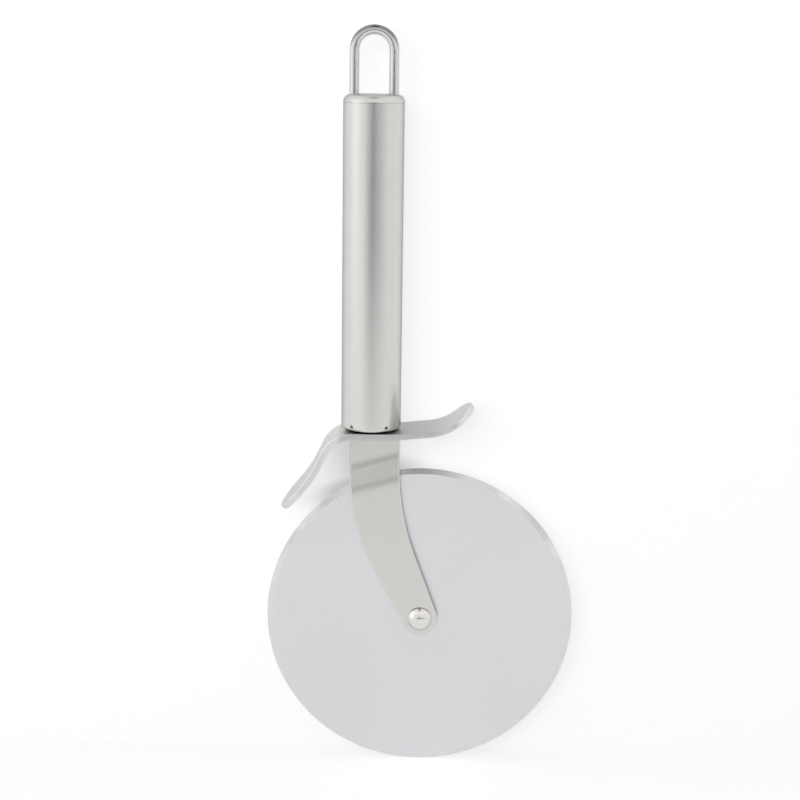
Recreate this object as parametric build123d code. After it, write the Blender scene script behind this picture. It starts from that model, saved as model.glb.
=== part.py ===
from build123d import *
import os
from math import atan2, cos, degrees, radians, sin, sqrt, tan

# Wheel pizza cutter, hanging from its wire loop.
# X points to the right, Y away from the viewer, Z up along the handle.
# The origin is the hook's seat: the inner top of the loop, on the handle's axis.

# Clearances between mating pieces
fit_gap = 0.05
slot_gap = 0.10
running_gap = 0.05

# Hanging loop, with its legs peened over under the cap
wire_diameter = 3.0
loop_opening_height = 18.0
leg_head_overhang = 0.6
leg_head_height = 1.2
leg_head_to_bore = 0.5

# Handle tube and the cap that closes its top
handle_diameter = 19.0
handle_wall = 0.8
handle_length = 105.0
cap_corner_radius = 2.2
cap_straight_rim = 0.2
cap_spigot_length = 3.0
rim_corner_radius = 1.2
rim_lip_width = 3.2

# Crimps just above the rim, which hold the plug
crimp_count = 5
crimp_first_angle = -129.4
crimp_height = 1.45
crimp_ball_radius = 0.7
crimp_depth = 0.45
crimp_wall = 0.55

# Plug in the foot of the handle, and the pin that holds the arm's tang in it
plug_length = 16.0
plug_foot_gap = 0.45
pin_diameter = 3.0
pin_height = 9.0

# Guard, an S-shaped strip across the handle's foot
guard_width = 17.6
guard_thickness = 2.0
guard_flat_past_boss = 0.15
guard_right_rise_radius = 27.6
guard_right_rise_angle = 5.7
guard_right_run = 9.8
guard_right_bend_radius = 17.0
guard_right_bend_angle = 37.4
guard_right_tip_length = 5.0
guard_left_flat = 5.8
guard_left_bend_radius = 9.8
guard_left_bend_angle = 64.0
guard_left_run = 4.9
guard_left_flare_radius = 36.3
guard_left_flare_angle = 13.9
guard_left_tip_length = 10.4

# Arm that carries the blade
arm_width = 16.0
arm_thickness = 1.8
arm_side_shift = 1.4
arm_end_radius = 5.8
arm_left_bend_radius = 68.0
arm_left_angle = 28.0
arm_right_bend_radius = 86.0
arm_right_angle = 20.5
joggle_above_rim = 1.1
joggle_length = 7.8
joggle_skew = 16.0
joggle_bend_radius = 14.0
tang_width = 10.0
tang_length = 14.0
strip_edge_radius = 0.45

# Blade, and where its axle and the top of its rim lie from the handle's axis and the guard
blade_diameter = 100.0
blade_thickness = 1.0
bevel_width = 1.8
edge_thickness = 0.12
axle_side_offset = 16.55
blade_rim_drop = 11.25
blade_set_back = 1.0

# Axle
washer_thickness = 1.1
washer_diameter = 10.0
sleeve_diameter = 6.0
shank_diameter = 4.0
rivet_head_diameter = 8.0
rivet_head_height = 2.2
sleeve_head_diameter = 11.0
sleeve_head_height = 1.4
sleeve_head_edge_radius = 0.5

# Sizes across the handle
handle_radius = handle_diameter / 2
bore_radius = handle_radius - handle_wall
plug_radius = bore_radius - fit_gap
plug_boss_radius = handle_radius - rim_lip_width - fit_gap
guard_right_flat = plug_boss_radius + guard_flat_past_boss
leg_head_radius = wire_diameter / 2 + leg_head_overhang
loop_pitch = 2 * (bore_radius - leg_head_to_bore - leg_head_radius)

# Crimps: each is a ball's dent, and the wall bulges round it into the bore
crimp_distance = handle_radius + crimp_ball_radius - crimp_depth
bulge_radius = crimp_ball_radius + crimp_wall
bulge_half_height = sqrt(bulge_radius**2 - (crimp_distance - plug_radius) ** 2)
plug_chamfer = crimp_height - handle_wall + bulge_half_height + fit_gap

# Levels along the handle, down from the hook's seat
cap_rim_height = cap_corner_radius + cap_straight_rim
cap_top_z = -loop_opening_height
cap_seat_z = cap_top_z - cap_rim_height
foot_z = cap_top_z - handle_length
guard_top_z = foot_z - plug_foot_gap
guard_middle_z = guard_top_z - guard_thickness / 2
guard_bottom_z = guard_top_z - guard_thickness
pin_z = foot_z + pin_height
tang_top_z = foot_z + tang_length
axle_drop = blade_rim_drop + blade_diameter / 2
axle_z = guard_bottom_z - axle_drop

# The middle of the joggle lies just above the blade's rim
rim_above_axle = sqrt((blade_diameter / 2) ** 2 - (axle_side_offset - arm_side_shift) ** 2)
joggle_z = axle_z + rim_above_axle + joggle_above_rim

# Places along the axle, back from the handle's axis
blade_front_y = blade_set_back - blade_thickness / 2
blade_back_y = blade_set_back + blade_thickness / 2
arm_back_y = blade_front_y - 2 * running_gap - washer_thickness
arm_front_y = arm_back_y - arm_thickness
sleeve_head_y = blade_back_y + 2 * running_gap + washer_thickness
joggle_offset = -(arm_back_y + arm_front_y) / 2


def path_edges(start, heading, runs, shift):
    """Tangent lines and arcs along a path, shifted to its left side."""
    edges = []
    x, y = start
    for length, turn, radius in runs:
        side_x = -sin(radians(heading))
        side_y = cos(radians(heading))
        if turn == 0:
            next_x = x + length * cos(radians(heading))
            next_y = y + length * sin(radians(heading))
            edges.append(
                Line((x + shift * side_x, y + shift * side_y), (next_x + shift * side_x, next_y + shift * side_y))
            )
        else:
            hand = 1 if turn > 0 else -1
            centre_x = x + hand * radius * side_x
            centre_y = y + hand * radius * side_y
            arc_radius = radius - hand * shift
            start_angle = heading - hand * 90
            edges.append(CenterArc((centre_x, centre_y), arc_radius, start_angle, turn))
            heading += turn
            next_x = centre_x + hand * radius * sin(radians(heading))
            next_y = centre_y - hand * radius * cos(radians(heading))
        x, y = next_x, next_y
    return edges, (x, y), heading


def strip_face(start, heading, runs, thickness):
    """Flat section of a bent strip, with the path along its middle."""
    left, end, end_heading = path_edges(start, heading, runs, thickness / 2)
    right, end, end_heading = path_edges(start, heading, runs, -thickness / 2)
    first = Line(left[0] @ 0, right[0] @ 0)
    last = Line(left[-1] @ 1, right[-1] @ 1)
    return make_face(left + right + [first, last]), end, end_heading


def turned(section):
    """Solid turned about Z from a section drawn in X and Z."""
    return revolve(Plane.XZ * section, Axis.Z)


def along_y(section, from_y, to_y):
    """Solid with a section drawn in X and Z, from one depth to another."""
    plane = Plane(origin=(0, from_y, 0), x_dir=(1, 0, 0), z_dir=(0, -1, 0))
    return extrude(plane * section, from_y - to_y)


def on_axle(radius, from_y, to_y):
    """Disc or shaft centred on the blade's axle."""
    return along_y(Pos(axle_side_offset, axle_z) * Circle(radius), from_y, to_y)


def save(name, solid):
    """Write one piece under its own name."""
    solid.label = name
    export_step(solid, f"parts/{name}.step")


def make_hanging_loop():
    wire_radius = wire_diameter / 2
    leg_offset = loop_pitch / 2
    bend_centre_z = wire_radius - leg_offset
    leg_foot_z = cap_seat_z - cap_spigot_length
    leg = Cylinder(wire_radius, bend_centre_z - leg_foot_z, align=(Align.CENTER, Align.CENTER, Align.MAX))
    head = Cylinder(leg_head_radius, leg_head_height, align=(Align.CENTER, Align.CENTER, Align.MAX))
    section = Plane.XY * Pos(leg_offset, 0) * Circle(wire_radius)
    bend = Pos(0, 0, bend_centre_z) * revolve(section, Axis.Y, revolution_arc=-180)
    loop = bend
    for side in (-1, 1):
        loop += Pos(side * leg_offset, 0, bend_centre_z) * leg
        loop += Pos(side * leg_offset, 0, leg_foot_z) * head
    return loop


def make_handle_cap():
    outline = make_face(
        Polyline(
            (0, cap_top_z),
            (handle_radius, cap_top_z),
            (handle_radius, cap_seat_z),
            (plug_radius, cap_seat_z),
            (plug_radius, cap_seat_z - cap_spigot_length),
            (0, cap_seat_z - cap_spigot_length),
            close=True,
        )
    )
    top_corner = outline.vertices().sort_by_distance((handle_radius, cap_top_z))[0]
    cap = turned(fillet(top_corner, cap_corner_radius))
    leg_hole = Cylinder(wire_diameter / 2 + fit_gap, 2 * (cap_rim_height + cap_spigot_length))
    for side in (-1, 1):
        cap -= Pos(side * loop_pitch / 2, 0, cap_seat_z) * leg_hole
    return cap


def make_handle_tube():
    lip_radius = handle_radius - rim_lip_width
    inner_corner = rim_corner_radius - handle_wall
    outline = make_face(
        Polyline(
            (bore_radius, cap_seat_z),
            (handle_radius, cap_seat_z),
            (handle_radius, foot_z),
            (lip_radius, foot_z),
            (lip_radius, foot_z + handle_wall),
            (bore_radius, foot_z + handle_wall),
            close=True,
        )
    )
    rim_corner = outline.vertices().sort_by_distance((handle_radius, foot_z))[0]
    outline = fillet(rim_corner, rim_corner_radius)
    inside_corner = outline.vertices().sort_by_distance((bore_radius, foot_z + handle_wall))[0]
    outline = fillet(inside_corner, inner_corner)
    tube = turned(outline)
    inside = Pos(0, 0, foot_z + crimp_height) * Cylinder(bore_radius + fit_gap, 4 * crimp_ball_radius)
    for index in range(crimp_count):
        angle = crimp_first_angle + index * 360 / crimp_count
        place = Rot(0, 0, angle) * Pos(crimp_distance, 0, foot_z + crimp_height)
        tube += (place * Sphere(bulge_radius)) & inside
        tube -= place * Sphere(crimp_ball_radius)
    return tube


def make_handle_plug():
    seat_z = foot_z + handle_wall
    outline = make_face(
        Polyline(
            (0, guard_top_z),
            (plug_boss_radius, guard_top_z),
            (plug_boss_radius, seat_z),
            (plug_radius - plug_chamfer, seat_z),
            (plug_radius, seat_z + plug_chamfer),
            (plug_radius, foot_z + plug_length),
            (0, foot_z + plug_length),
            close=True,
        )
    )
    plug = turned(outline)
    plug -= Pos(0, 0, foot_z) * Box(tang_width + 2 * slot_gap, arm_thickness + 2 * slot_gap, 4 * plug_length)
    plug -= Pos(0, 0, pin_z) * Rot(90, 0, 0) * Cylinder(pin_diameter / 2 + fit_gap, handle_diameter)
    return plug


def make_tang_pin():
    # The pin stops a clearance short of the bore, as the plug does
    reach = sqrt(plug_radius**2 - (pin_diameter / 2) ** 2)
    return Pos(0, 0, pin_z) * Rot(90, 0, 0) * Cylinder(pin_diameter / 2, 2 * reach)


def tip_waste(tip, heading):
    """What the half-round end of the guard leaves off the square strip."""
    end_radius = guard_width / 2
    depth = 4 * guard_thickness
    place = Plane(
        origin=(tip[0], 0, tip[1]),
        x_dir=(cos(radians(heading)), 0, sin(radians(heading))),
        z_dir=(-sin(radians(heading)), 0, cos(radians(heading))),
    )
    square_end = Box(2 * end_radius, 2 * guard_width, depth)
    round_end = Pos(-end_radius, 0, 0) * Cylinder(end_radius, 2 * depth)
    return place * (square_end - round_end)


def make_guard():
    right_runs = [
        (guard_right_flat, 0, 0),
        (0, guard_right_rise_angle, guard_right_rise_radius),
        (guard_right_run, 0, 0),
        (0, guard_right_bend_angle, guard_right_bend_radius),
        (guard_right_tip_length, 0, 0),
    ]
    left_runs = [
        (guard_left_flat, 0, 0),
        (0, guard_left_bend_angle, guard_left_bend_radius),
        (guard_left_run, 0, 0),
        (0, -guard_left_flare_angle, guard_left_flare_radius),
        (guard_left_tip_length, 0, 0),
    ]
    middle = (0, guard_middle_z)
    right_face, right_tip, right_heading = strip_face(middle, 0, right_runs, guard_thickness)
    left_face, left_tip, left_heading = strip_face(middle, 180, left_runs, guard_thickness)
    guard = along_y(right_face + left_face, -guard_width / 2, guard_width / 2)
    guard -= tip_waste(right_tip, right_heading)
    guard -= tip_waste(left_tip, left_heading)
    guard = fillet(guard.edges(), strip_edge_radius)
    slot_length = tang_width + 2 * slot_gap
    slot_width = arm_thickness + 2 * slot_gap
    return guard - Pos(0, 0, guard_middle_z) * Box(slot_length, slot_width, 2 * guard_thickness)


def make_wheel_arm():
    slope = degrees(atan2(joggle_offset, joggle_length))
    tangent = joggle_bend_radius * tan(radians(slope / 2))
    ramp = sqrt(joggle_offset**2 + joggle_length**2) - 2 * tangent
    above = guard_bottom_z - joggle_z + tang_length + handle_diameter
    runs = [
        (above - joggle_length / 2 - tangent, 0, 0),
        (0, slope, joggle_bend_radius),
        (ramp, 0, 0),
        (0, -slope, joggle_bend_radius),
        (axle_drop + arm_width, 0, 0),
    ]
    section, end, heading = strip_face((-above, 0), 0, runs, arm_thickness)
    skew = radians(joggle_skew)
    bend_plane = Plane(
        origin=(arm_side_shift, 0, joggle_z),
        x_dir=(sin(skew), 0, -cos(skew)),
        z_dir=(-cos(skew), 0, -sin(skew)),
    )
    bent_sheet = extrude(bend_plane * section, axle_drop, both=True)
    arm = bent_sheet & along_y(arm_outline(), -handle_radius, handle_radius)
    long_edges = arm.edges().filter_by(Axis.Y, reverse=True)
    below_guard = long_edges.filter_by(lambda edge: edge.bounding_box().max.Z < guard_bottom_z + fit_gap)
    arm = fillet(below_guard, strip_edge_radius)
    arm -= on_axle(shank_diameter / 2 + fit_gap, -handle_radius, handle_radius)
    return arm - Pos(0, 0, pin_z) * Rot(90, 0, 0) * Cylinder(pin_diameter / 2 + fit_gap, handle_diameter)


def shoulder_relief(reach):
    """How far the arm's left shoulder drops to clear the start of the guard's bend."""
    bend_radius = guard_left_bend_radius - guard_thickness / 2
    past_flat = max(reach - guard_left_flat, 0)
    return bend_radius - sqrt(bend_radius**2 - past_flat**2) + fit_gap


def arm_outline():
    """Front view of the arm and its tang."""
    left_x = arm_side_shift - arm_width / 2
    right_x = arm_side_shift + arm_width / 2
    edges = []
    for side, edge_x, shoulder_z, angle, radius in (
        (-1, left_x, guard_bottom_z - shoulder_relief(-left_x), arm_left_angle, arm_left_bend_radius),
        (1, right_x, guard_bottom_z, arm_right_angle, arm_right_bend_radius),
    ):
        turn = radians(angle)
        touch_x = axle_side_offset + side * arm_end_radius * cos(turn)
        touch_z = axle_z + side * arm_end_radius * sin(turn)
        corner_z = touch_z + (touch_x - edge_x) / tan(turn)
        bend_start_z = corner_z + radius * tan(turn / 2)
        bend = CenterArc((edge_x + radius, bend_start_z), radius, 180, angle)
        edges += [Line((edge_x, shoulder_z), bend @ 0), bend, Line(bend @ 1, (touch_x, touch_z))]
        edges.append(Line((edge_x, shoulder_z), (side * tang_width / 2, shoulder_z)))
        edges.append(Line((side * tang_width / 2, shoulder_z), (side * tang_width / 2, tang_top_z)))
    end_sweep = 180 - arm_left_angle + arm_right_angle
    edges.append(CenterArc((axle_side_offset, axle_z), arm_end_radius, 180 + arm_left_angle, end_sweep))
    edges.append(Line((-tang_width / 2, tang_top_z), (tang_width / 2, tang_top_z)))
    return make_face(edges)


def make_blade():
    blade_radius = blade_diameter / 2
    half_edge = edge_thickness / 2
    half_section = make_face(
        Polyline(
            (sleeve_diameter / 2 + running_gap, blade_front_y),
            (blade_radius - bevel_width, blade_front_y),
            (blade_radius, blade_set_back - half_edge),
            (blade_radius, blade_set_back + half_edge),
            (blade_radius - bevel_width, blade_back_y),
            (sleeve_diameter / 2 + running_gap, blade_back_y),
            close=True,
        )
    )
    # The section is drawn out from the axle and back from the handle's plane
    plane = Plane(origin=(axle_side_offset, 0, axle_z), x_dir=(1, 0, 0), z_dir=(0, 0, 1))
    axle_line = Axis((axle_side_offset, 0, axle_z), (0, 1, 0))
    return revolve(plane * half_section, axle_line)


def make_washer(from_y):
    washer = on_axle(washer_diameter / 2, from_y, from_y + washer_thickness)
    return washer - on_axle(sleeve_diameter / 2 + fit_gap, from_y - fit_gap, from_y + washer_thickness + fit_gap)


def make_axle_sleeve():
    head_end_y = sleeve_head_y + sleeve_head_height
    head = on_axle(sleeve_head_diameter / 2, sleeve_head_y, head_end_y)
    head = fillet(head.edges().sort_by(Axis.Y)[-1], sleeve_head_edge_radius)
    sleeve = head + on_axle(sleeve_diameter / 2, arm_back_y, sleeve_head_y)
    return sleeve - on_axle(shank_diameter / 2 + fit_gap, arm_back_y - fit_gap, head_end_y + fit_gap)


def make_axle_rivet():
    head_radius = rivet_head_diameter / 2
    ball_radius = (head_radius**2 + rivet_head_height**2) / (2 * rivet_head_height)
    ball_y = arm_front_y - rivet_head_height + ball_radius
    ball = Pos(axle_side_offset, ball_y, axle_z) * Sphere(ball_radius)
    head = ball & on_axle(ball_radius, arm_front_y - ball_radius, arm_front_y)
    shank = on_axle(shank_diameter / 2, arm_front_y, sleeve_head_y + sleeve_head_height)
    return head + shank


os.makedirs("parts", exist_ok=True)
save("hanging_loop", make_hanging_loop())
save("handle_cap", make_handle_cap())
save("handle_tube", make_handle_tube())
save("handle_plug", make_handle_plug())
save("tang_pin", make_tang_pin())
save("guard", make_guard())
save("wheel_arm", make_wheel_arm())
save("blade", make_blade())
save("front_washer", make_washer(arm_back_y + running_gap))
save("rear_washer", make_washer(blade_back_y + running_gap))
save("axle_sleeve", make_axle_sleeve())
save("axle_rivet", make_axle_rivet())
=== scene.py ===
import bpy
from math import cos, pi, radians, sin
from mathutils import Matrix, Vector

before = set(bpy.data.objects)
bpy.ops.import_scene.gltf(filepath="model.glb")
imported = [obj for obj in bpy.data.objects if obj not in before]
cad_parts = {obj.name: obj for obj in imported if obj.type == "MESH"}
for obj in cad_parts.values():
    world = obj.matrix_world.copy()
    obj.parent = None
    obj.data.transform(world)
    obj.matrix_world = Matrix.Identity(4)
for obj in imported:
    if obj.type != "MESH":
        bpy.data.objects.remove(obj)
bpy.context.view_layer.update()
mm = 0.001
white = (1, 1, 1, 1)
black = (0, 0, 0, 1)


# one socket in a node tree, so that shader maths reads as plain expressions
class Wire:
    def __init__(self, finish, socket):
        self.finish = finish
        self.socket = socket

    def maths(self, operation, *others):
        inputs = dict(enumerate((self,) + others))
        return self.finish.node("Math", {"operation": operation}, inputs)

    # the same with this wire as the second value
    def reflected(self, operation, first):
        return self.finish.node("Math", {"operation": operation}, {0: first, 1: self})

    def __add__(self, other):
        return self.maths("ADD", other)

    def __radd__(self, other):
        return self.reflected("ADD", other)

    def __sub__(self, other):
        return self.maths("SUBTRACT", other)

    def __rsub__(self, other):
        return self.reflected("SUBTRACT", other)

    def __mul__(self, other):
        return self.maths("MULTIPLY", other)

    def __rmul__(self, other):
        return self.reflected("MULTIPLY", other)

    def __truediv__(self, other):
        return self.maths("DIVIDE", other)

    def __rtruediv__(self, other):
        return self.reflected("DIVIDE", other)

    def __pow__(self, other):
        return self.maths("POWER", other)

    def __rpow__(self, other):
        return self.reflected("POWER", other)

    def __abs__(self):
        return self.maths("ABSOLUTE")


# a material or a world, and the one method that adds its nodes
class Finish:
    def __init__(self, name, kind="materials"):
        self.block = getattr(bpy.data, kind).new(name)
        self.block.use_nodes = True
        self.tree = self.block.node_tree
        self.tree.nodes.clear()

    def node(self, kind, settings=None, inputs=None, output=0):
        made = self.tree.nodes.new("ShaderNode" + kind)
        for key, value in (settings or {}).items():
            setattr(made, key, value)
        for key, value in (inputs or {}).items():
            if isinstance(value, Wire):
                self.tree.links.new(value.socket, made.inputs[key])
            else:
                made.inputs[key].default_value = value
        return Wire(self, made.outputs[output]) if made.outputs else None

    def place(self):
        return self.node("TexCoord", output=3)  # metres, in the part's own frame

    def facing(self):
        return self.node("TexCoord", output=1)

    # 1 for the named kinds of ray and 0 for all others
    def rays(self, first, *others):
        outputs = self.node("LightPath").socket.node.outputs
        total = Wire(self, outputs[f"Is {first} Ray"])
        for kind in others:
            total = total + Wire(self, outputs[f"Is {kind} Ray"])
        return total

    def split(self, vector, axes="XYZ"):
        outputs = self.node("SeparateXYZ", None, {0: vector}).socket.node.outputs
        return [Wire(self, outputs[axis]) for axis in axes]

    def join(self, x, y, z):
        return self.node("CombineXYZ", None, {0: x, 1: y, 2: z})

    def noise(self, vector, scale=1.0, detail=2.0, roughness=0.5):
        inputs = {"Vector": vector, "Scale": scale, "Detail": detail, "Roughness": roughness}
        return self.node("TexNoise", None, inputs)

    # noise with its own scale along each axis
    def streaks(self, vector, scales, detail=2.0, roughness=0.5):
        stretched = self.node("VectorMath", {"operation": "MULTIPLY"}, {0: vector, 1: scales})
        return self.noise(stretched, detail=detail, roughness=roughness)

    # 0 below one value and 1 above another, or the other way round
    def step(self, value, low, high, soft=True):
        settings = {"interpolation_type": "SMOOTHSTEP" if soft else "LINEAR"}
        inputs = {0: value, 1: min(low, high), 2: max(low, high)}
        inputs.update({3: 0.0, 4: 1.0} if low < high else {3: 1.0, 4: 0.0})
        return self.node("MapRange", settings, inputs)

    # 1 between the two inner values and 0 outside the two outer ones
    def plateau(self, value, stops):
        low, innerLow, innerHigh, high = stops
        return self.step(value, low, innerLow) * self.step(value, high, innerHigh)

    def between(self, mask, colour, otherColour):
        settings = {"data_type": "RGBA"}
        return self.node("Mix", settings, {0: mask, 6: colour, 7: otherColour}, output=2)

    # the dark and the light tone of a look, by a value that swings about a half
    def tones(self, value, contrast, dark, light):
        return self.between(self.step(value, 0.5 - contrast, 0.5 + contrast), dark, light)

    def bump(self, height, depth):
        return self.node("Bump", None, {"Height": height, "Distance": depth, "Strength": 1.0})

    def metal(self, colour, roughness, normal, grazing=white, **fixed):
        inputs = {"Base Color": colour, "Roughness": roughness, "Metallic": 1.0,
                  "Normal": normal, "Specular Tint": grazing}
        inputs.update(fixed)
        return self.show(self.node("BsdfPrincipled", None, inputs))

    def glow(self, strength, colour=white):
        return self.node("Emission", None, {0: colour, 1: strength})

    def show(self, shader):
        kind = "OutputWorld" if isinstance(self.block, bpy.types.World) else "OutputMaterial"
        self.node(kind, None, {0: shader})
        return self.block


def distance(across, up):
    return (across * across + up * up) ** 0.5


def blend(first, second, share):
    return first * share + second * (1 - share)


# a mask broken up by noise: its least strength, and what the noise adds to that
def patchy(mask, noise, strengths):
    least, added = strengths
    return mask * (least + noise * added)


handleLooks = {
    "light": (0.690, 0.700, 0.675, 1),
    "dark": (0.665, 0.675, 0.650, 1),
    "contrast": 0.18,
    "grazing": (0.50, 0.50, 0.50, 1),
    "fineScales": (60, 60, 5200),
    "bandScales": (25, 25, 700),
    "smudgeScale": 55.0,
    "fineShare": 0.65,
    "smudgeShare": 0.3,
    "grainDepth": 0.0012 * mm,
    "roughness": 0.29,
    "roughnessRange": 0.06,
    "smudgeRoughness": 0.05,
    "capRoughness": 0.10,
    "capFade": (0.05, 0.45),
    "blurAcross": 0.15,
    "blurTurn": 0.25,
    "seam": (0.42, 0.42, 0.40, 1),
    "seamHeight": -20.4 * mm,
    "seamWidth": 0.16 * mm,
    "seamStrength": 0.8,
    "radius": 9.5 * mm,
    "recessShade": (0.020, 0.016, 0.012, 1),
    "recessRoughness": 0.3,
    "raggedScale": 2600.0,
    "raggedness": 0.5,
    "crimpHeight": -121.55 * mm,
    "crimpFirstAngle": -129.4,
    "crimpStep": 72,
    "crimpHalfWidth": 0.60 * mm,
    "crimpHalfHeight": 0.32 * mm,
    "crimpFade": (1.15, 0.80),
}


# satin steel, brushed round the handle, with painted shade in the crimp dimples above its foot
def makeHandleSteel():
    look = handleLooks
    f = Finish("handleSteel")
    place = f.place()
    x, y, z = f.split(place)
    fine = f.streaks(place, look["fineScales"], detail=3.0, roughness=0.65)
    bands = f.streaks(place, look["bandScales"])
    smudge = f.noise(place, look["smudgeScale"], detail=3.0)
    grain = blend(fine, bands, look["fineShare"])
    tone = blend(smudge, grain, look["smudgeShare"])
    colour = f.tones(tone, look["contrast"], look["dark"], look["light"])

    seam = f.step(abs(z - look["seamHeight"]), look["seamWidth"], 0.0)
    colour = f.between(seam * look["seamStrength"], colour, look["seam"])

    # the angle to the nearest crimp, by folding the circle at every half step
    turn = y.maths("ARCTAN2", x) - radians(look["crimpFirstAngle"]) + 4 * pi
    nearest = turn.maths("PINGPONG", radians(look["crimpStep"]) / 2)
    sideways = nearest * (look["radius"] / look["crimpHalfWidth"])
    upward = (z - look["crimpHeight"]) / look["crimpHalfHeight"]
    ragged = (f.noise(place, look["raggedScale"], detail=3.0) - 0.5) * look["raggedness"]
    # painted shade: the crimp dimples are painted near black
    recessShadeMask = f.step(distance(sideways, upward) + ragged, *look["crimpFade"])
    colour = f.between(recessShadeMask, colour, look["recessShade"])

    # the cap's rounding is a little more matt than the brushed sides
    sideZ = f.split(f.facing(), "Z")[0]
    rounding = f.step(sideZ, *look["capFade"]) * look["capRoughness"]
    roughness = look["roughness"] + (grain - 0.5) * look["roughnessRange"]
    roughness = roughness + (smudge - 0.5) * look["smudgeRoughness"]
    roughness = roughness + recessShadeMask * look["recessRoughness"] + rounding
    blur = {"Anisotropic": look["blurAcross"], "Anisotropic Rotation": look["blurTurn"]}
    return f.metal(colour, roughness, f.bump(grain, look["grainDepth"]), look["grazing"], **blur)


armLooks = {
    "top": (0.672, 0.678, 0.652, 1),
    "foot": (0.692, 0.697, 0.670, 1),
    "topHeight": -126 * mm,
    "footHeight": -190 * mm,
    "grainTone": 0.55,
    "grainScales": (180, 180, 2600),
    "cloudScale": 90.0,
    "fineShare": 0.6,
    "grainDepth": 0.0004 * mm,
    "rightSideShade": (0.24, 0.245, 0.23, 1),
    "rightSideFacing": (0.60, 0.90),
    "rightSideRoughness": 0.12,
    "wornAndHighlight": (0.88, 0.885, 0.865, 1),
    "cornerFacing": (0.30, 0.50, 0.70, 0.92),
    "cornerStrength": (0.6, 0.4),
    "roughness": 0.32,
    "roughnessRange": 0.07,
}


# satin strip of the arm, ground across its width, with painted shade on its right-facing side
def makeArmSteel():
    look = armLooks
    f = Finish("armSteel")
    place = f.place()
    z = f.split(place, "Z")[0]
    fine = f.streaks(place, look["grainScales"], detail=3.0, roughness=0.6)
    cloudy = f.noise(place, look["cloudScale"], detail=3.0)
    grain = blend(fine, cloudy, look["fineShare"])
    lower = f.step(z, look["topHeight"], look["footHeight"], soft=False)
    colour = f.between(lower + (grain - 0.5) * look["grainTone"], look["top"], look["foot"])
    sideX, sideY = f.split(f.facing(), "XY")
    # painted shade: faces turned towards +X are painted dark
    rightSideShadeMask = f.step(sideX, *look["rightSideFacing"])
    colour = f.between(rightSideShadeMask, colour, look["rightSideShade"])
    # the rounded corners look neither along Y nor square to it
    corner = f.plateau(sideY * sideY, look["cornerFacing"])
    # wear and a painted highlight: the rounded corners are painted lighter
    wornAndHighlight = patchy(corner, grain, look["cornerStrength"])
    colour = f.between(wornAndHighlight, colour, look["wornAndHighlight"])
    roughness = look["roughness"] + (grain - 0.5) * look["roughnessRange"]
    roughness = roughness + rightSideShadeMask * look["rightSideRoughness"]
    return f.metal(colour, roughness, f.bump(grain, look["grainDepth"]))


guardLooks = {
    "light": (0.575, 0.582, 0.567, 1),
    "dark": (0.557, 0.564, 0.549, 1),
    "contrast": 0.18,
    "grazing": (0.76, 0.76, 0.76, 1),
    "grainScales": (900, 140, 900),
    "cloudScale": 110.0,
    "fineShare": 0.5,
    "grainDepth": 0.0001 * mm,
    "tipHighlight": (0.735, 0.740, 0.727, 1),
    "leftTip": (-8.5 * mm, -11.5 * mm),
    "rightTip": (17 * mm, 30 * mm),
    "tipStrength": (0.8, 0.4),
    "shoulder": (0.860, 0.865, 0.850, 1),
    "shoulderSpan": (-17 * mm, -12 * mm, -11 * mm, -8.5 * mm),
    "shoulderStrength": (0.2, 0.5),
    "wornAndHighlight": (0.74, 0.745, 0.735, 1),
    "cornerFacing": (0.25, 0.50, 0.60, 0.85),
    "cornerStrength": (0.5, 0.6),
    "nickScales": (1500, 900, 1500),
    "nickRarity": (0.74, 0.78),
    "nickRoughness": 0.04,
    "recessShade": (0.020, 0.016, 0.012, 1),
    "recessShadeReach": (8.0 * mm, 7.7 * mm),
    "recessShadeSpan": (-8.2 * mm, -6.2 * mm, 6.2 * mm, 8.2 * mm),
    "recessShadeHeight": (-123.7 * mm, -123.6 * mm),
    "recessShadeSide": (0.2, 0.6),
    "recessRoughness": 0.4,
    "raggedScale": 1500.0,
    "raggedness": 0.5 * mm,
    "roughness": 0.33,
    "roughnessRange": 0.08,
}


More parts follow.
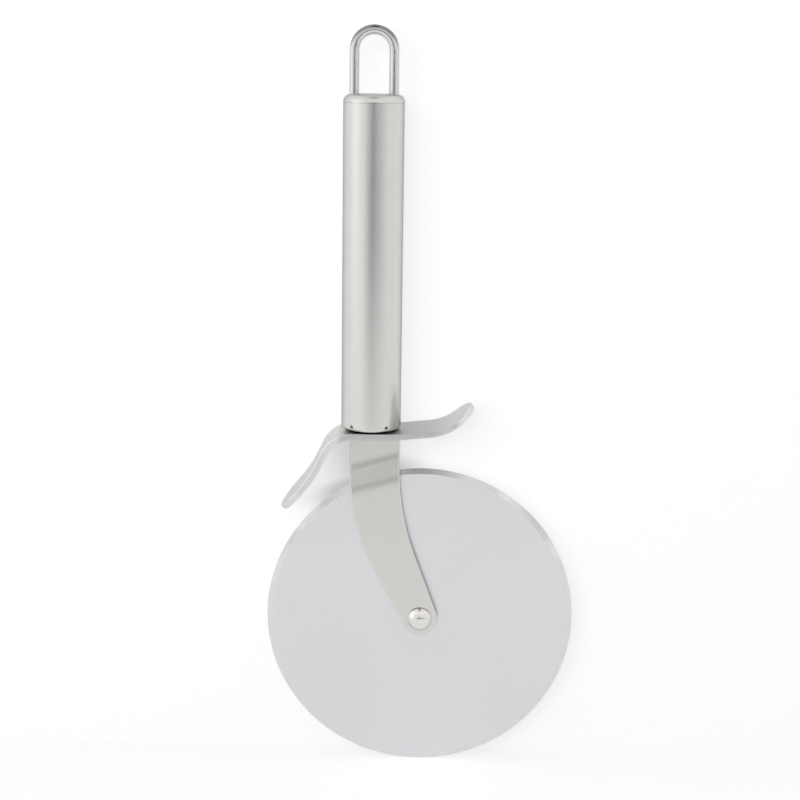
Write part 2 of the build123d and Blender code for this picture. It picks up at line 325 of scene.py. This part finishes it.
# satin strip of the guard, with wear and a painted highlight at its corners, and painted shade
# under the handle's rim
def makeGuardSteel():
    look = guardLooks
    f = Finish("guardSteel")
    place = f.place()
    x, y, z = f.split(place)
    fine = f.streaks(place, look["grainScales"], detail=3.0, roughness=0.6)
    cloudy = f.noise(place, look["cloudScale"], detail=3.0)
    grain = blend(fine, cloudy, look["fineShare"])
    colour = f.tones(grain, look["contrast"], look["dark"], look["light"])

    # painted highlight: the two wings and the left shoulder are painted brighter than the middle
    tipHighlightMask = f.step(x, *look["leftTip"]) + f.step(x, *look["rightTip"])
    tipHighlightMask = patchy(tipHighlightMask, grain, look["tipStrength"])
    colour = f.between(tipHighlightMask, colour, look["tipHighlight"])
    shoulder = patchy(f.plateau(x, look["shoulderSpan"]), grain, look["shoulderStrength"])
    colour = f.between(shoulder, colour, look["shoulder"])

    # the rounded corners look neither along Y nor square to it
    sideY, sideZ = f.split(f.facing(), "YZ")
    corner = f.plateau(sideY * sideY, look["cornerFacing"])
    # wear and a painted highlight: the rounded corners are painted lighter
    wornAndHighlight = patchy(corner, grain, look["cornerStrength"])
    colour = f.between(wornAndHighlight, colour, look["wornAndHighlight"])

    # painted shade: the guard's top under the handle's rim is painted near black
    ragged = (f.noise(place, look["raggedScale"], detail=3.0) - 0.5) * look["raggedness"]
    recessShadeMask = f.step(distance(x, y) + ragged, *look["recessShadeReach"])
    recessShadeMask = recessShadeMask * f.step(z, *look["recessShadeHeight"]) * f.step(sideZ, *look["recessShadeSide"])
    recessShadeMask = recessShadeMask * f.plateau(x, look["recessShadeSpan"])
    colour = f.between(recessShadeMask, colour, look["recessShade"])

    nicks = f.step(f.streaks(place, look["nickScales"], detail=1.0), *look["nickRarity"])
    roughness = look["roughness"] + (grain - 0.5) * look["roughnessRange"]
    roughness = roughness + nicks * look["nickRoughness"] + recessShadeMask * look["recessRoughness"]
    return f.metal(colour, roughness, f.bump(grain, look["grainDepth"]), look["grazing"])


plugLooks = {
    "light": (0.060, 0.050, 0.040, 1),
    "dark": (0.015, 0.012, 0.010, 1),
    "contrast": 0.15,
    "mottleScale": 700.0,
    "mottleDepth": 0.01 * mm,
    "roughness": 0.5,
    "roughnessRange": 0.2,
}


# the plug is only seen deep in the gap under the rim, painted near black as painted shade of that
# gap
def makePlugSteel():
    look = plugLooks
    f = Finish("plugSteel")
    mottle = f.noise(f.place(), look["mottleScale"], detail=4.0)
    colour = f.tones(mottle, look["contrast"], look["dark"], look["light"])
    roughness = look["roughness"] + mottle * look["roughnessRange"]
    return f.metal(colour, roughness, f.bump(mottle, look["mottleDepth"]))


bladeLooks = {
    "axle": (16.55 * mm, -186.7 * mm),
    "face": (0.755, 0.764, 0.780, 1),
    "faceDark": (0.737, 0.746, 0.762, 1),
    "contrast": 0.15,
    "ringScale": 1800,
    "ringWander": 12,
    "ringShare": 0.3,
    "cloudScale": 32.0,
    "bevelStart": 48.2 * mm,
    "bevelFade": 0.05 * mm,
    "edge": (0.745, 0.752, 0.735, 1),
    "edgeDark": (0.722, 0.729, 0.712, 1),
    "spokeScale": 34,
    "spokeWander": 90,
    "bevelHighlight": (0.970, 0.975, 0.950, 1),
    "highlightRight": (0.46, 0.58, 0.87, 0.94),
    "highlightLeft": (-0.86, -0.78, -0.72, -0.62),
    "highlightHeight": (0.0, 0.3),
    "highlightStrength": (0.85, 0.3),
    "topShade": (0.550, 0.556, 0.545, 1),
    "topHeight": (0.95, 0.99),
    "topStrength": 0.9,
    "grainDepth": 0.0006 * mm,
    "spokeDepthShare": 0.25,
    "roughness": 0.30,
    "faceRoughnessRange": 0.04,
    "bevelRoughness": -0.11,
    "bevelRoughnessRange": 0.06,
}


# rolled steel disc with a faint circular finish and a ground edge
def makeBladeSteel():
    look = bladeLooks
    f = Finish("bladeSteel")
    place = f.place()
    x, z = f.split(place, "XZ")
    across = x - look["axle"][0]
    up = z - look["axle"][1]
    radius = distance(across, up)
    side = across / radius
    height = up / radius

    wander = look["ringWander"]
    rings = f.noise(f.join(radius * look["ringScale"], across * wander, up * wander))
    cloudy = f.noise(place, look["cloudScale"], detail=3.0)
    tone = blend(rings, cloudy, look["ringShare"])
    face = f.tones(tone, look["contrast"], look["faceDark"], look["face"])

    scale = look["spokeScale"]
    spokes = f.noise(f.join(side * scale, height * scale, radius * look["spokeWander"]))
    ground = f.tones(spokes, look["contrast"], look["edgeDark"], look["edge"])
    # painted highlight on the ground edge at both sides of the top, and painted shade at the
    # topmost point
    bevelHighlight = f.plateau(side, look["highlightRight"]) + f.plateau(side, look["highlightLeft"])
    bevelHighlight = bevelHighlight * f.step(height, *look["highlightHeight"])
    ground = f.between(patchy(bevelHighlight, spokes, look["highlightStrength"]), ground, look["bevelHighlight"])
    topmost = f.step(height, *look["topHeight"]) * look["topStrength"]
    ground = f.between(topmost, ground, look["topShade"])

    start = look["bevelStart"]
    fade = look["bevelFade"]
    onBevel = f.step(radius, start - fade, start + fade)
    colour = f.between(onBevel, face, ground)
    faceRange = look["faceRoughnessRange"]
    roughness = look["roughness"] + (rings - 0.5) * faceRange + (cloudy - 0.5) * faceRange
    ofBevel = spokes * look["bevelRoughnessRange"] + look["bevelRoughness"]
    relief = rings * (1 - onBevel) + spokes * onBevel * look["spokeDepthShare"]
    return f.metal(colour, roughness + onBevel * ofBevel, f.bump(relief, look["grainDepth"]))


polishedLooks = {
    "light": (0.690, 0.700, 0.690, 1),
    "dark": (0.640, 0.650, 0.640, 1),
    "contrast": 0.2,
    "grazing": (0.62, 0.62, 0.62, 1),
    "markScales": (3200, 3200, 180),
    "cloudScale": 260.0,
    "markShare": 0.6,
    "markDepth": 0.001 * mm,
    "upperShade": (0.20, 0.21, 0.20, 1),
    "upperFade": (-0.05, 0.5),
    "upperStrength": (0.7, 0.4),
    "roughness": 0.18,
    "markRoughness": 0.08,
    "cloudRoughness": 0.06,
}


# polished wire, pin and sleeve, with faint drawing marks and painted shade on their upward faces
def makePolishedSteel():
    look = polishedLooks
    f = Finish("polishedSteel")
    place = f.place()
    marks = f.streaks(place, look["markScales"])
    cloudy = f.noise(place, look["cloudScale"])
    tone = blend(marks, cloudy, look["markShare"])
    colour = f.tones(tone, look["contrast"], look["dark"], look["light"])
    # painted shade: upward faces, such as the top of the loop's bend, are painted darker
    sideZ = f.split(f.facing(), "Z")[0]
    upperShadeMask = patchy(f.step(sideZ, *look["upperFade"]), cloudy, look["upperStrength"])
    colour = f.between(upperShadeMask, colour, look["upperShade"])
    roughness = look["roughness"] + (marks - 0.5) * look["markRoughness"]
    roughness = roughness + (cloudy - 0.5) * look["cloudRoughness"]
    return f.metal(colour, roughness, f.bump(marks, look["markDepth"]), look["grazing"])


rivetLooks = {
    "light": (0.790, 0.785, 0.770, 1),
    "dark": (0.740, 0.735, 0.720, 1),
    "contrast": 0.15,
    "cloudScale": 420.0,
    "cloudDepth": 0.002 * mm,
    "seam": (0.34, 0.22, 0.13, 1),
    "seamFade": (3.55 * mm, 3.95 * mm),
    "seamHeight": (0.1, 0.9),
    "seamStrength": (0.6, 0.8),
    "seamRoughness": 0.2,
    "roughness": 0.21,
    "roughnessRange": 0.08,
}


# polished rivet head, with a brown stain in the seam over it
def makeRivetSteel():
    look = rivetLooks
    f = Finish("rivetSteel")
    place = f.place()
    x, z = f.split(place, "XZ")
    across = x - bladeLooks["axle"][0]
    up = z - bladeLooks["axle"][1]
    radius = distance(across, up)
    cloudy = f.noise(place, look["cloudScale"], detail=3.0)
    colour = f.tones(cloudy, look["contrast"], look["dark"], look["light"])
    stain = f.step(radius, *look["seamFade"]) * f.step(up / radius, *look["seamHeight"])
    colour = f.between(patchy(stain, cloudy, look["seamStrength"]), colour, look["seam"])
    roughness = look["roughness"] + (cloudy - 0.5) * look["roughnessRange"]
    roughness = roughness + stain * look["seamRoughness"]
    return f.metal(colour, roughness, f.bump(cloudy, look["cloudDepth"]))


washerLooks = {
    "light": (0.70, 0.69, 0.66, 1),
    "dark": (0.52, 0.51, 0.48, 1),
    "mottleScale": 900.0,
    "mottleDepth": 0.01 * mm,
    "roughness": 0.45,
    "roughnessRange": 0.2,
}


# pale nylon washers, slightly mottled
def makeWasherNylon():
    look = washerLooks
    f = Finish("washerNylon")
    mottle = f.noise(f.place(), look["mottleScale"], detail=4.0)
    inputs = {"Base Color": f.between(mottle, look["dark"], look["light"]),
              "Roughness": look["roughness"] + mottle * look["roughnessRange"],
              "Normal": f.bump(mottle, look["mottleDepth"])}
    return f.show(f.node("BsdfPrincipled", None, inputs))


handleSteel = makeHandleSteel()
polishedSteel = makePolishedSteel()
washerNylon = makeWasherNylon()
finishOfNode = {
    "handle_tube": handleSteel,
    "handle_cap": handleSteel,
    "handle_plug": makePlugSteel(),
    "tang_pin": polishedSteel,
    "hanging_loop": polishedSteel,
    "guard": makeGuardSteel(),
    "wheel_arm": makeArmSteel(),
    "blade": makeBladeSteel(),
    "front_washer": washerNylon,
    "rear_washer": washerNylon,
    "axle_sleeve": polishedSteel,
    "axle_rivet": makeRivetSteel(),
}
for nodeName, finish in finishOfNode.items():
    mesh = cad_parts[nodeName].data
    mesh.materials.clear()
    mesh.materials.append(finish)
print("finishes are on", len(finishOfNode), "pieces")


# angles in degrees, lengths in metres, and the sensor in millimetres
cameraLooks = {
    "place": (11.46 * mm, -530.72 * mm, 0.645 * mm),
    "azimuth": 0.244,
    "elevation": 12.196,
    "roll": 0.757,
    "focalPixels": 1700,
    "imagePixels": 800,
    "sensorWidth": 36,
    "nearest": 0.01,
}


def makeCamera():
    look = cameraLooks
    azimuth = radians(look["azimuth"])
    elevation = radians(look["elevation"])
    roll = radians(look["roll"])
    level = Vector((cos(azimuth), sin(azimuth), 0))
    back = Vector((sin(azimuth) * cos(elevation), -cos(azimuth) * cos(elevation), sin(elevation)))
    up = back.cross(level)
    right = level * cos(roll) + up * sin(roll)
    top = up * cos(roll) - level * sin(roll)
    data = bpy.data.cameras.new("camera")
    data.sensor_width = look["sensorWidth"]
    data.lens = look["sensorWidth"] * look["focalPixels"] / look["imagePixels"]
    data.clip_start = look["nearest"]
    camera = bpy.data.objects.new("camera", data)
    turn = Matrix((right, top, back)).transposed().to_4x4()
    camera.matrix_world = Matrix.Translation(look["place"]) @ turn
    bpy.context.scene.collection.objects.link(camera)
    bpy.context.scene.camera = camera


makeCamera()
print("camera is set")


stageLooks = {
    "paper": (0.5, 0.5, 0.5, 1),
    "ownGlow": 0.590,
    "floorExtraGlow": 0.070,
    "wallExtraGlow": 0.015,
    "floorHeight": -0.2367,
    "floorReach": 9.0,
    "wallBehind": 9.7 * mm,
    "wallHalfWidth": 0.26,
    "wallTop": 0.10,
    "rimCentre": (16.64 * mm, -190.1 * mm),
    "rimReach": (57.6 * mm, 51.7 * mm),
    "rimSides": (-0.76, -0.53, -0.26, 0.12),
    "rimHeight": (0.0, 20 * mm),
    "rimShade": 0.39,
    "armReach": (-16.5 * mm, -8.0 * mm),
    "armInside": (0.0, -5 * mm),
    "armShade": 0.26,
    "guardFoot": (-126 * mm, -131 * mm),
}


# how much the wall darkens in the corners between the guard, the arm and the blade's rim
def cornerShade(f):
    look = stageLooks
    x, z = f.split(f.place(), "XZ")
    across = x - look["rimCentre"][0]
    up = z - look["rimCentre"][1]
    radius = distance(across, up)
    overRim = f.step(up, *look["rimHeight"])
    rim = f.step(radius, *look["rimReach"]) * f.plateau(across / radius, look["rimSides"])
    arm = f.step(x, *look["armReach"], soft=False) * f.step(x, *look["armInside"])
    arm = arm * f.step(z, *look["guardFoot"])
    return (rim * overRim * look["rimShade"]).maths("MAXIMUM", arm * overRim * look["armShade"])


# white paper for the eye and for metal, which lights the part only as matt paper
def makePaper(name, extraGlow, isWall):
    look = stageLooks
    f = Finish(name)
    matt = f.node("BsdfDiffuse", None, {0: look["paper"]})
    lit = f.node("AddShader", None, {0: matt, 1: f.glow(look["ownGlow"])})
    seen = f.rays("Glossy", "Transmission", "Camera")
    shader = f.node("MixShader", None, {0: seen, 1: matt, 2: lit})
    # a little more for the eye alone, so that the paper reads as white as the backdrop
    extra = f.node("MixShader", None, {0: f.rays("Camera"), 2: f.glow(extraGlow)})
    shader = f.node("AddShader", None, {0: shader, 1: extra})
    if isWall:
        dark = f.node("BsdfDiffuse", None, {0: black})
        shader = f.node("MixShader", None, {0: cornerShade(f), 1: shader, 2: dark})
        # clear from behind, so that it never hides the part
        rear = f.node("NewGeometry", output=6)
        clear = f.node("BsdfTransparent")
        shader = f.node("MixShader", None, {0: rear, 1: shader, 2: clear})
    return f.show(shader)


def makeSheet(name, corners, faces, material):
    mesh = bpy.data.meshes.new(name)
    mesh.from_pydata(corners, [], faces)
    mesh.materials.append(material)
    sheet = bpy.data.objects.new(name, mesh)
    bpy.context.scene.collection.objects.link(sheet)
    return sheet


def makeStage():
    look = stageLooks
    low = look["floorHeight"]
    far = look["floorReach"]
    floorPaper = makePaper("floorPaper", look["floorExtraGlow"], False)
    corners = [(-far, -far, low), (far, -far, low), (far, far, low), (-far, far, low)]
    makeSheet("floor", corners, [(0, 1, 2, 3)], floorPaper)
    y = look["wallBehind"]
    wide = look["wallHalfWidth"]
    high = look["wallTop"]
    wallPaper = makePaper("wallPaper", look["wallExtraGlow"], True)
    corners = [(-wide, y, low), (wide, y, low), (wide, y, high), (-wide, y, high)]
    makeSheet("wall", corners, [(0, 1, 2, 3)], wallPaper)


makeStage()


worldLooks = {
    "fill": 0.60,
    "backdrop": 1.0,
}


# an even fill for matt things, and plain white for the eye and for metal
def makeWorld():
    f = Finish("studio", "worlds")
    fill = f.node("Background", None, {0: white, 1: worldLooks["fill"]})
    backdrop = f.node("Background", None, {0: white, 1: worldLooks["backdrop"]})
    seen = f.rays("Camera", "Glossy", "Transmission")
    bpy.context.scene.world = f.show(f.node("MixShader", None, {0: seen, 1: fill, 2: backdrop}))


makeWorld()


# softboxes: name, place, what it faces, width and height in metres, brightness, seen in metal
softboxes = (
    ("keySoftbox", (-0.42, -1.35, 0.22), (0, 0, -0.12), 1.4, 1.4, 1.75, False),
    ("leftSoftbox", (-1.25, -0.45, 0.25), (0, 0, -0.10), 0.9, 1.3, 0.34, True),
)


def makeLights():
    for name, place, target, width, height, brightness, inMetal in softboxes:
        data = bpy.data.lights.new(name, "AREA")
        data.shape = "RECTANGLE"
        data.size = width
        data.size_y = height
        data.energy = brightness * pi * width * height
        lamp = bpy.data.objects.new(name, data)
        lamp.location = place
        aim = Vector(target) - Vector(place)
        lamp.rotation_mode = "QUATERNION"
        lamp.rotation_quaternion = aim.to_track_quat("-Z", "Y")
        lamp.visible_glossy = inMetal
        bpy.context.scene.collection.objects.link(lamp)


makeLights()


# what stands dark in front of the part and over it, seen only in metal
mirroredLooks = {
    "bandRadius": 1.5,
    "bandLow": -0.236,
    "bandHigh": -0.012,
    "bandFloorStart": 0.92,
    "bandLeft": -36,
    "bandRight": 62,
    "bandShade": 0.09,
    "bandCore": (-8, 4),
    "bandSteps": 48,
    "lensPlace": (0.012, -0.57, 0.0),
    "lensRadius": 0.045,
    "lensShade": 0.0,
    "lensSteps": 24,
    "ceilingHeight": 0.95,
    "ceilingFront": -0.55,
    "ceilingBack": 1.0,
    "ceilingHalfWidth": 0.17,
    "ceilingShade": 0.12,
}


def onlyInMetal(sheet):
    sheet.visible_camera = False
    sheet.visible_diffuse = False
    sheet.visible_shadow = False


# a low band on the floor and up to about the camera's height, fading out to both sides
def makeDarkBand():
    look = mirroredLooks
    left = look["bandLeft"]
    right = look["bandRight"]
    f = Finish("bandCloth")
    x, y = f.split(f.place(), "XY")
    azimuth = x.maths("ARCTAN2", 0 - y) / radians(1)
    coreLeft, coreRight = look["bandCore"]
    faded = f.step(azimuth, coreLeft, left, soft=False)
    faded = faded + f.step(azimuth, coreRight, right, soft=False)
    shade = look["bandShade"] + faded * (1 - look["bandShade"])
    cloth = f.show(f.glow(1.0, f.join(shade, shade, shade)))
    outline = ((look["bandFloorStart"], look["bandLow"]), (look["bandRadius"], look["bandLow"]),
               (look["bandRadius"], look["bandHigh"]))
    corners = []
    faces = []
    for index in range(look["bandSteps"] + 1):
        turn = radians(left + (right - left) * index / look["bandSteps"])
        corners += [(reach * sin(turn), -reach * cos(turn), height) for reach, height in outline]
        if index:
            new = 3 * index
            old = new - 3
            faces += [(old, old + 1, new + 1, new), (old + 1, old + 2, new + 2, new + 1)]
    onlyInMetal(makeSheet("darkBand", corners, faces, cloth))


def makePlainCloth(name, shade):
    f = Finish(name)
    return f.show(f.glow(shade))


def makeLens():
    look = mirroredLooks
    x, y, z = look["lensPlace"]
    steps = look["lensSteps"]
    corners = []
    for index in range(steps):
        turn = 2 * pi * index / steps
        corners.append((x + look["lensRadius"] * cos(turn), y, z + look["lensRadius"] * sin(turn)))
    cloth = makePlainCloth("lensCloth", look["lensShade"])
    onlyInMetal(makeSheet("lens", corners, [tuple(range(steps))], cloth))


# a narrow strip over the part, which carries the handle's dark stripe up over the cap
def makeCeiling():
    look = mirroredLooks
    wide = look["ceilingHalfWidth"]
    high = look["ceilingHeight"]
    front = look["ceilingFront"]
    back = look["ceilingBack"]
    corners = [(-wide, front, high), (wide, front, high), (wide, back, high), (-wide, back, high)]
    cloth = makePlainCloth("ceilingCloth", look["ceilingShade"])
    onlyInMetal(makeSheet("ceiling", corners, [(0, 1, 2, 3)], cloth))


makeDarkBand()
makeLens()
makeCeiling()
print("stage and lights are set")

bpy.context.scene.view_settings.view_transform = "Standard"
